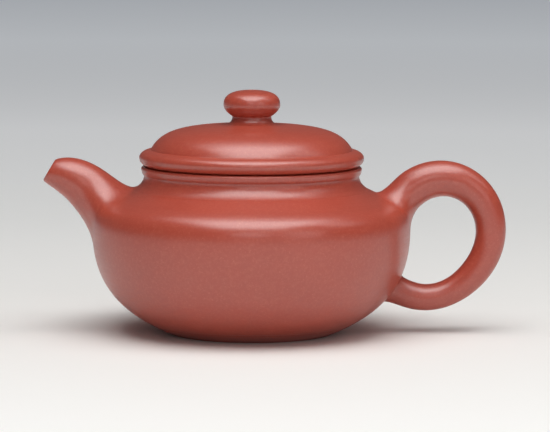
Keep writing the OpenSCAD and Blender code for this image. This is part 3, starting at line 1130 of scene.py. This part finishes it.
@dataclass
class Strainer:
    """The pierced clay dome that holds the leaves back behind the spout, in mm."""

    shop: Workshop
    port: Port
    ball_r: float = 7.6
    shell: float = 1.2
    rim_h: float = 1.2
    depth: float = 3.85  # how far its foot lies inside the skin
    play: float = 0.06
    rings: int = 3
    hole_d: float = 1.4
    steps_round: int = 96
    arc_steps: int = 16

    def build(self) -> None:
        """Builds the strainer in its port."""
        inner = Slot.INNER_CLAY
        rim = self.port.bore / 2 - self.play
        ball_z = math.sqrt(self.ball_r**2 - rim * rim)
        piece = self.shop.turned("pierced_strainer", self.section(rim, ball_z), inner,
                                 waver=False, steps=self.steps_round)
        run_tree(piece, self.shop.piercing, {
            "Rings": self.rings, "Hole Diameter": self.hole_d * MM,
            "Ball Radius": self.ball_r * MM, "Ball Height": ball_z * MM,
            "Material": self.shop.finishes[inner]})
        piece.data.transform(self.port.seat() @ Matrix.Translation((0, 0, -self.depth * MM)))
        piece.data.shade_smooth()
        piece.data.set_sharp_from_angle(angle=SHARP_ANGLE)
        settle(piece, Body.POT, inner, "spout_strainer")

    def section(self, rim: float, ball_z: float) -> Section:
        """Draws the dome's shell, from the middle of its outside round to its inside."""
        inner_r = self.ball_r - self.shell
        outer_end = math.degrees(math.asin(rim / self.ball_r))
        inner_end = math.degrees(math.asin((rim - self.shell) / inner_r))
        steps = self.arc_steps
        outer = [self.on_ball(self.ball_r, a, ball_z) for a in np.linspace(0, outer_end, steps)]
        inner = [self.on_ball(inner_r, a, ball_z) for a in np.linspace(inner_end, 0, steps)]
        edge = [outer[-1], (rim, self.rim_h), (rim - self.shell, self.rim_h), inner[0]]
        return Section(0.2).run(outer, RAW).corners(edge, RAW).run(inner, RAW)

    @staticmethod
    def on_ball(radius: float, degrees: float, ball_z: float) -> Pair:
        """Returns the point of a ball at an angle from its lowest point."""
        angle = math.radians(degrees)
        return (radius * math.sin(angle), ball_z - radius * math.cos(angle))


@dataclass
class Spout:
    """The short curved spout, hollow from its lip to the strainer, in mm."""

    shop: Workshop
    outline: PotOutline
    middle: float = 1.41  # the root's middle, as a place on the outline
    half_length: float = 0.545
    half_breadth: float = 15.0
    over: Bend = Bend((-62.0, 54.5), (-57.4, 56.1), (-50.6, 54.9), (-43.1, 48.3))
    under: Bend = Bend((-65.9, 47.9), (-63.0, 45.4), (-57.5, 42.8), (-54.6, 36.7))
    flare_from: float = 0.74  # where the sides begin to flare into the shoulder
    flare_pulls: Pair = (0.42, 0.3)
    bore_d: float = 5.8
    root_wall: float = 2.2
    bore_share: float = 0.5  # the bore's size where it meets the pot, as a share of the root's
    bore_ends: Pair = (0.94, 0.1)  # where the bore's rings begin and end
    seat_sink: float = 0.05  # how far the face that is luted lies below the skin's ring
    lip_inset: float = 0.42  # how far the lip's rounding reaches across its face
    lip_reach: float = 0.05  # and how far along the spout
    lip_steps: int = 9
    side_steps: int = 40
    flare_steps: int = 48
    bore_steps: int = 36
    sides: int = 96

    def build(self) -> None:
        """Builds the spout on the pot's skin."""
        self.root = Root(self.outline, Side.SPOUT, self.middle, self.half_length,
                         self.half_breadth)
        self.loft = ClosedLoft(self.sides)
        across = self.over.at(0) - self.under.at(0)
        self.lip_wall = (np.linalg.norm(across) - self.bore_d) / 2
        self.add_outside()
        self.add_inside()
        piece = self.shop.lofted("pouring_spout", self.loft, Slot.RED_CLAY)
        settle(piece, Body.POT, Slot.RED_CLAY, "spout")

    def ring(self, t: float, inset: float) -> np.ndarray:
        """Returns the ring at place t, made smaller by an inset."""
        up = self.over.at(t)
        down = self.under.at(t)
        way = unit(up - down)
        half = np.linalg.norm(up - down) / 2 - inset
        return self.loft.oval(up - inset * way, down + inset * way, half)

    def rounded(self, face_inset: float, edge_inset: float) -> list[np.ndarray]:
        """Returns the rings that round the lip, from its face to its outer or inner side."""
        face = self.ring(0, face_inset)
        edge = self.ring(0, edge_inset)
        side = self.ring(self.lip_reach, edge_inset)
        return [rounding(face, edge, side, t) for t in np.linspace(0, 1, self.lip_steps)]

    def add_outside(self) -> None:
        """Adds the lip's outer half, the sides and the sweep into the pot's shoulder."""
        turns = self.loft.turns
        places = np.linspace(self.lip_reach, self.flare_from, self.side_steps)
        sides = [self.ring(t, 0) for t in places[1:]]
        leave = ways_between(sides[-2], sides[-1])
        flare = blend_rings(sides[-1], leave, self.root.ways(turns), self.root.ring(turns),
                            self.flare_pulls, self.flare_steps)
        self.loft.add(self.rounded(self.lip_inset, 0) + sides + flare)

    def add_inside(self) -> None:
        """Adds the face that is luted to the pot, the bore and the lip's inner half."""
        shares = np.linspace(0.995, self.bore_share, 8)
        seat = [self.root.ring(self.loft.turns, share, self.seat_sink) for share in shares]
        thinning = self.root_wall - self.lip_wall
        bore = [self.ring(t, self.lip_wall + thinning * math.sqrt(t))
                for t in np.linspace(*self.bore_ends, self.bore_steps)]
        lip = self.rounded(self.lip_wall - self.lip_inset, self.lip_wall)[::-1]
        self.loft.add(seat, RAW).add(bore, RAW).add(lip, 0.6)


@dataclass
class Handle:
    """The ring handle, round all along and flared where it meets the shoulder, in mm."""

    shop: Workshop
    outline: PotOutline
    centre: Pair = (59.15, 30.0)
    radius: float = 17.95  # of the middle line
    shift: Pair = (1.03, math.radians(177))  # how far the line lies off the centre, and which way
    stretch: Pair = (1.67, math.radians(57))  # how far it is drawn out, and which way
    bulge: Pair = (0.33, math.radians(-20))  # how far it bulges in three places, and the first
    thickness: float = 5.03  # half the clay's thickness
    swell: Pair = (0.77, math.radians(111))  # how much thicker it is on one side, and on which
    pinch: Pair = (0.2, math.radians(-41))  # how much thicker it is at two ends, and at which
    ends: Pair = (math.radians(116), math.radians(-114))  # where it begins to flare into the pot
    round_share: float = 0.98  # its half breadth as a share of its half thickness
    # Each root's middle and half length along the outline, and its half breadth in mm.
    top_root: tuple[float, float, float] = (1.43, 0.45, 11.0)
    low_root: tuple[float, float, float] = (0.526, -0.138, 5.0)
    top_pulls: Pair = (0.4, 0.3)
    low_pulls: Pair = (0.36, 0.16)
    top_steps: int = 36
    low_steps: int = 20
    seat_sink: float = 0.05  # how far the faces that are luted lie below the skin's rings
    sides: int = 72
    steps: int = 180  # between its flares

    def build(self) -> None:
        """Builds the handle on the pot's skin."""
        self.loft = Loft(self.sides)
        top = Root(self.outline, Side.HANDLE, *self.top_root)
        low = Root(self.outline, Side.HANDLE, *self.low_root)
        sides = [self.ring(angle) for angle in np.linspace(*self.ends, self.steps)]
        self.loft.add(self.seat(top, (0.2, 0.5, 0.8, 0.995)), RAW)
        top_flare = self.flare(sides[1], sides[0], top, self.top_pulls, self.top_steps)
        low_flare = self.flare(sides[-2], sides[-1], low, self.low_pulls, self.low_steps)
        self.loft.add(top_flare[::-1] + sides + low_flare)
        self.loft.add(self.seat(low, (0.98, 0.6, 0.3)), RAW)
        piece = self.shop.lofted("ring_handle", self.loft, Slot.RED_CLAY)
        settle(piece, Body.POT, Slot.RED_CLAY, "handle")

    def seat(self, root: Root, shares: tuple[float, ...]) -> list[np.ndarray]:
        """Returns the rings of the face that is luted to a root, by their shares of its size."""
        return [root.ring(self.loft.turns, share, self.seat_sink) for share in shares]

    def flare(self, before: np.ndarray, last: np.ndarray, root: Root, pulls: Pair,
              steps: int) -> list[np.ndarray]:
        """Returns the rings that sweep from the handle's last ring into a root.

        Args:
            before: the handle's last ring but one.
            last: its last ring.
            root: the root.
            pulls: how strongly the sweep leaves the one and comes into the other.
            steps: the number of rings.

        Returns:
            The rings, ending on the pot's skin.
        """
        turns = self.loft.turns
        return blend_rings(last, ways_between(before, last), root.ways(turns), root.ring(turns),
                           pulls, steps)

    @staticmethod
    def wave(angle: float, times: int, form: Pair) -> float:
        """Returns a wave that repeats a number of times round the ring."""
        height, crest = form
        return height * math.cos(times * (angle - crest))

    def reach(self, angle: float) -> float:
        """Returns how far the middle line is from the ring's centre."""
        return (self.radius + self.wave(angle, 1, self.shift) + self.wave(angle, 2, self.stretch)
                + self.wave(angle, 3, self.bulge))

    def half_thickness(self, angle: float) -> float:
        """Returns half the clay's thickness, which grows towards the top."""
        return (self.thickness + self.wave(angle, 1, self.swell)
                + self.wave(angle, 2, self.pinch))

    def ring(self, angle: float) -> np.ndarray:
        """Returns the handle's ring at an angle round the ring's centre."""
        ray = np.array([math.cos(angle), math.sin(angle)])
        half = self.half_thickness(angle)
        centre = np.array(self.centre)
        outer = centre + (self.reach(angle) + half) * ray
        inner = centre + (self.reach(angle) - half) * ray
        return self.loft.oval(outer, inner, self.round_share * half)


# ---------------------------------------------------------------------------- the lid


@dataclass
class Lid:
    """The lid: its flange, moulded rim, dome and knob, in mm."""

    shop: Workshop
    dome_wall: float = 2.6
    vent_r: float = 0.9
    flange_wall: float = 2.4
    dome_r: float = 31.9  # where the dome rises out of the rim
    dome_end: float = 0.955  # where the knob covers the dome's curve

    def __post_init__(self) -> None:
        """Reads the lid's sizes from the frame and draws the dome's curve."""
        self.flange_low, self.flange_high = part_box("lid_flange")
        self.rim_low, self.rim_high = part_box("lid_rim")
        self.inner_r = self.flange_high.y / MM - self.flange_wall
        foot = (self.dome_r, self.rim_high.z / MM)
        self.curve = Bend(foot, (28.2, 64.9), (19.6, 65.3), (7.0, 66.0))

    def build(self) -> None:
        """Builds the lid's four pieces."""
        red = Slot.RED_CLAY
        inner = Slot.INNER_CLAY
        flange = self.shop.turned("seat_flange", self.flange(), inner, False)
        settle(flange, Body.LID_SEAT, inner, "lid_flange")
        for name, section, node in (("lid_moulding", self.rim(), "lid_rim"),
                                    ("lid_crown", self.dome(), "lid_dome"),
                                    ("button_knob", self.knob(), "knob")):
            settle(self.shop.turned(name, section, red), Body.LID, red, node)

    def flange(self) -> Section:
        """Draws the plain ring that drops into the mouth."""
        low = self.flange_low.z / MM
        high = self.flange_high.z / MM
        outer_r = self.flange_high.y / MM
        inside = self.inner_r
        section = Section(0.5).run([(outer_r, high), (inside, high)], RAW)
        section.soft((inside, high), (inside, low), (outer_r, low), RAW)
        section.soft((inside, low), (outer_r, low), (outer_r, high), 0.3, 0.6)
        return section.closed()

    def rim(self) -> Section:
        """Draws the moulding: a narrow lip under a broad roll."""
        base = self.rim_low.z / MM
        top = self.rim_high.z / MM
        rim_r = self.rim_high.y / MM
        lip = (rim_r - 0.35, base + 1.25)
        crest = (rim_r, base + 2.5)
        under = Bend((rim_r - 2.4, base), (rim_r - 1.2, base + 0.2), (rim_r - 0.75, base + 0.7), lip)
        side = Bend(lip, (lip[0] + 0.2, lip[1] + 0.4), (crest[0], crest[1] - 0.45), crest)
        roll = Bend(crest, (crest[0], crest[1] + 1.15), (rim_r - 1.1, top - 0.3), self.curve.start)
        section = Section().run([(self.inner_r, base)], WIPED).run(under.points(10))
        section.run(side.points(8)[1:]).run(roll.points(24)[1:])
        section.run([(self.curve.start[0] - self.dome_wall, top), (self.inner_r, top - 1)], RAW)
        return section.closed()

    def dome(self) -> Section:
        """Draws the hollow dome round its vent."""
        top = self.curve.at(self.dome_end)[1]
        foot = self.curve.start
        section = Section().run(self.curve.points(64, 0.0, self.dome_end))
        section.run([(self.vent_r, top), (self.vent_r, top - self.dome_wall)], RAW)
        section.run(self.curve.offset(-self.dome_wall, 40, self.dome_end, 0.08), RAW)
        return section.run([(foot[0] - self.dome_wall, foot[1])], RAW).closed()

    def knob(self) -> Section:
        """Draws the flattened ball on its short waist, round its vent."""
        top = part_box("knob")[1].z / MM
        foot = self.curve.at(self.dome_end)
        waist = (6.15, 68.4)
        wide = (8.95, 72.15)
        stem = Bend(foot, foot + np.array([-2, 0.1]), (waist[0], waist[1] - 1), waist)
        lower = Bend(waist, (waist[0], waist[1] + 0.35), (wide[0], wide[1] - 2.25), wide)
        upper = Bend(wide, (wide[0], wide[1] + 2.95), (6.65, top), (0.0, top))
        section = Section().run(stem.points(14)).run(lower.points(22)[1:])
        section.run(upper.points(44, 0.0, 0.93)[1:])
        section.soft((2.0, top), (self.vent_r, top), (self.vent_r, foot[1]), 0.6, 0.35)
        return section.run([(self.vent_r, foot[1])], RAW).closed()


# ---------------------------------------------------------------------------- the studio


@dataclass(frozen=True)
class Softbox:
    """One soft studio panel, in metres and watts."""

    name: str
    place: tuple[float, float, float]
    aim: tuple[float, float, float]
    size: Pair
    power: float

    def hang(self) -> None:
        """Adds the panel's light."""
        light = bpy.data.lights.new(self.name, "AREA")
        light.shape = "RECTANGLE"
        light.size, light.size_y = self.size
        light.energy = self.power
        ray = Vector(self.aim) - Vector(self.place)
        turn = ray.to_track_quat("-Z", "Y").to_matrix().to_4x4()
        put(self.name, light, Matrix.Translation(self.place) @ turn)


class Studio:
    """The pale floor, the soft light and the camera."""

    FLOOR_HALF = 9.0
    SKY = (0.98, 0.99, 1.0)
    SKY_STRENGTH = 0.08
    PANELS = (
        Softbox("overhead_box", (0.0, -0.42, 0.95), (0.0, -0.42, 0.0), (0.9, 0.95), 10.4),
        Softbox("overhead_back", (0.0, 0.2, 0.95), (0.0, 0.2, 0.0), (1.1, 0.3), 1.2),
        Softbox("overhead_side", (0.75, -0.1, 0.95), (0.3, -0.1, 0.0), (0.5, 0.8), 1.5),
        Softbox("side_fill", (0.8, -1.0, 0.5), (0.0, 0.0, 0.03), (0.6, 0.6), 1.25),
        Softbox("front_fill", (0.0, -1.3, 0.55), (0.0, 0.0, 0.03), (0.5, 0.4), 1.2),
    )
    FLOOR_REACH = 3.0  # where the floor stops changing
    # How far from the pot the floor's painted shade changes, as a share of its reach, and its colour
    # there: slightly darker and warmer next to the pot, darker and cooler far off, painted in where
    # the light falls away.
    FLOOR_PAINTED_SHADES = ((0.0, (0.84, 0.82, 0.79)), (0.2, (0.86, 0.86, 0.85)), (1.0, (0.70, 0.73, 0.77)))
    # The painted glow: emission that lifts the far floor where the panels don't reach, standing in
    # for light.
    FLOOR_PAINTED_GLOWS = (
        (0.0, (0.0, 0.0, 0.0)), (0.12, (0.08, 0.083, 0.085)), (0.27, (0.26, 0.265, 0.275)),
        (0.58, (0.34, 0.355, 0.375)), (1.0, (0.28, 0.295, 0.32)))
    CAMERA_PLACE = (7.45, -1050.0, 147.96)  # in mm
    CAMERA_DIP = math.radians(6.04)  # how far it looks down
    CAMERA_ROLL = math.radians(0.26)
    SENSOR = 36.0
    LENS = 218.5
    VIEW_END = 50.0  # in metres

    def build(self) -> None:
        """Builds the studio."""
        self.add_floor()
        self.add_light()
        self.add_camera()

    def add_floor(self) -> None:
        """Adds the floor that the pot stands on."""
        half = self.FLOOR_HALF
        mesh = bpy.data.meshes.new("floor")
        mesh.from_pydata([(-half, -half, 0), (half, -half, 0), (half, half, 0), (-half, half, 0)],
                         [], [(0, 1, 2, 3)])
        floor = put("floor", mesh)
        mesh.materials.append(self.floor_material())
        floor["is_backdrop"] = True

    def floor_material(self) -> bpy.types.Material:
        """Builds the floor's pale finish, of even roughness, with painted shade that darkens and
        cools it farther from the pot, and a painted glow on the far floor.
        """
        material = bpy.data.materials.new("pale_floor")
        material.use_nodes = True
        graph = Graph(material.node_tree)
        place = graph.add("ShaderNodeTexCoord").outputs["Object"]
        share = graph.over(graph.length(place), self.FLOOR_REACH)
        shader = graph.add("ShaderNodeBsdfPrincipled", {
            # Painted shade: the base colour darkens and cools with the distance from the pot.
            "Base Color": self.ramp(graph, share, self.FLOOR_PAINTED_SHADES), "Roughness": 0.7,
            "Specular IOR Level": 0.2, "Emission Strength": 1.0,
            # Painted light: the emission glows on the far floor, in place of light from the panels.
            "Emission Color": self.ramp(graph, share, self.FLOOR_PAINTED_GLOWS)})
        graph.add("ShaderNodeOutputMaterial", {"Surface": shader.outputs[0]})
        return material

    @staticmethod
    def ramp(graph: Graph, share: Socket, shades: tuple[tuple[float, Shade], ...]) -> Socket:
        """Adds a Color Ramp and returns its shade at a share of the floor's reach."""
        ramp = graph.add("ShaderNodeValToRGB", {0: share})
        stops = ramp.color_ramp.elements
        while len(stops) < len(shades):
            stops.new(1.0)
        for stop, (position, shade) in zip(stops, shades):
            stop.position = position
            stop.color = (*shade, 1.0)
        return ramp.outputs["Color"]

    def add_light(self) -> None:
        """Adds the even light all round and the soft panels."""
        world = bpy.data.worlds.new("studio")
        world.use_nodes = True
        graph = Graph(world.node_tree)
        sky = graph.add("ShaderNodeBackground", {
            "Color": (*self.SKY, 1.0), "Strength": self.SKY_STRENGTH})
        graph.add("ShaderNodeOutputWorld", {"Surface": sky.outputs[0]})
        bpy.context.scene.world = world
        for panel in self.PANELS:
            panel.hang()
        bpy.context.scene.view_settings.view_transform = "Standard"

    def add_camera(self) -> None:
        """Adds the camera, a little above the lid and far in front."""
        camera = bpy.data.cameras.new("camera")
        camera.sensor_width = self.SENSOR
        camera.lens = self.LENS
        camera.clip_end = self.VIEW_END
        pitch = Matrix.Rotation(math.radians(90) - self.CAMERA_DIP, 4, "X")
        roll = Matrix.Rotation(self.CAMERA_ROLL, 4, "Z")
        place = Matrix.Translation(Vector(self.CAMERA_PLACE) * MM)
        bpy.context.scene.camera = put("camera", camera, place @ pitch @ roll)


def corners(box: Box) -> list[list[float]]:
    """Returns a box's two corners as plain lists."""
    return [list(corner) for corner in box]


def main() -> None:
    """Builds the teapot and the studio."""
    logging.basicConfig(level=logging.INFO, format="%(name)s %(message)s")
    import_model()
    frame_box = corners(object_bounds())
    outline = PotOutline()
    port = Port(outline)
    shop = Workshop.open()
    for part in (Pot(shop, outline, port), Strainer(shop, port), Spout(shop, outline),
                 Handle(shop, outline), Lid(shop), Studio()):
        part.build()
    {"cad": frame_box, "visual": corners(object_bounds())}


if __name__ == "__main__":
    main()
